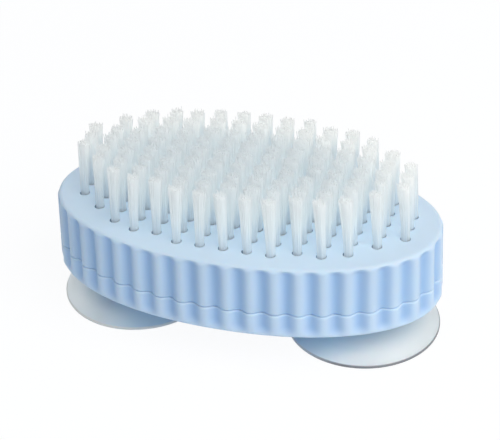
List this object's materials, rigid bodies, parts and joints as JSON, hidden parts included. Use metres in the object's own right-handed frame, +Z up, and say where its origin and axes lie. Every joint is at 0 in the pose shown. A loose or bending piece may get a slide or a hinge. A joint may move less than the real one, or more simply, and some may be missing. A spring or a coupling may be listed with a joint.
{
  "type": "nail brush",
  "caption": "Oval hand brush with short upright bristle tufts, a fluted plastic body with a level seam and soft suction cups underneath.",
  "frame": {"origin": "centre of the footprint, on the surface that the two suction cups stand on, midway between them", "axes": "+X along the body's length towards the right cup, +Y across the body, +Z up through the bristles"},
  "size_m": [0.1, 0.0538, 0.0457],
  "materials": {
    "body_plastic": "satin, pale blue",
    "bristle_nylon": "translucent white filament",
    "cup_vinyl": "clear soft vinyl, glossy"
  },
  "bodies": {
    "brush": {"brush_head": "body_plastic", "base_cover": "body_plastic", "tuft_column_01": "bristle_nylon", "tuft_column_02": "bristle_nylon", "tuft_column_03": "bristle_nylon", "tuft_column_04": "bristle_nylon", "tuft_column_05": "bristle_nylon", "tuft_column_06": "bristle_nylon", "tuft_column_07": "bristle_nylon", "tuft_column_08": "bristle_nylon", "tuft_column_09": "bristle_nylon", "tuft_column_10": "bristle_nylon", "tuft_column_11": "bristle_nylon", "tuft_column_12": "bristle_nylon", "tuft_column_13": "bristle_nylon", "tuft_column_14": "bristle_nylon", "tuft_column_15": "bristle_nylon"},
    "left_cup": {"suction_cup_left": "cup_vinyl"},
    "right_cup": {"suction_cup_right": "cup_vinyl"}
  },
  "joints": [
    {"name": "left_cup_swivel", "type": "hinge", "parent": "brush", "child": "left_cup", "pos_m": [-0.0302, 0, 0.0108], "axis": [0, 0, 1], "continuous": true},
    {"name": "right_cup_swivel", "type": "hinge", "parent": "brush", "child": "right_cup", "pos_m": [0.0302, 0, 0.0108], "axis": [0, 0, 1], "continuous": true}
  ]
}
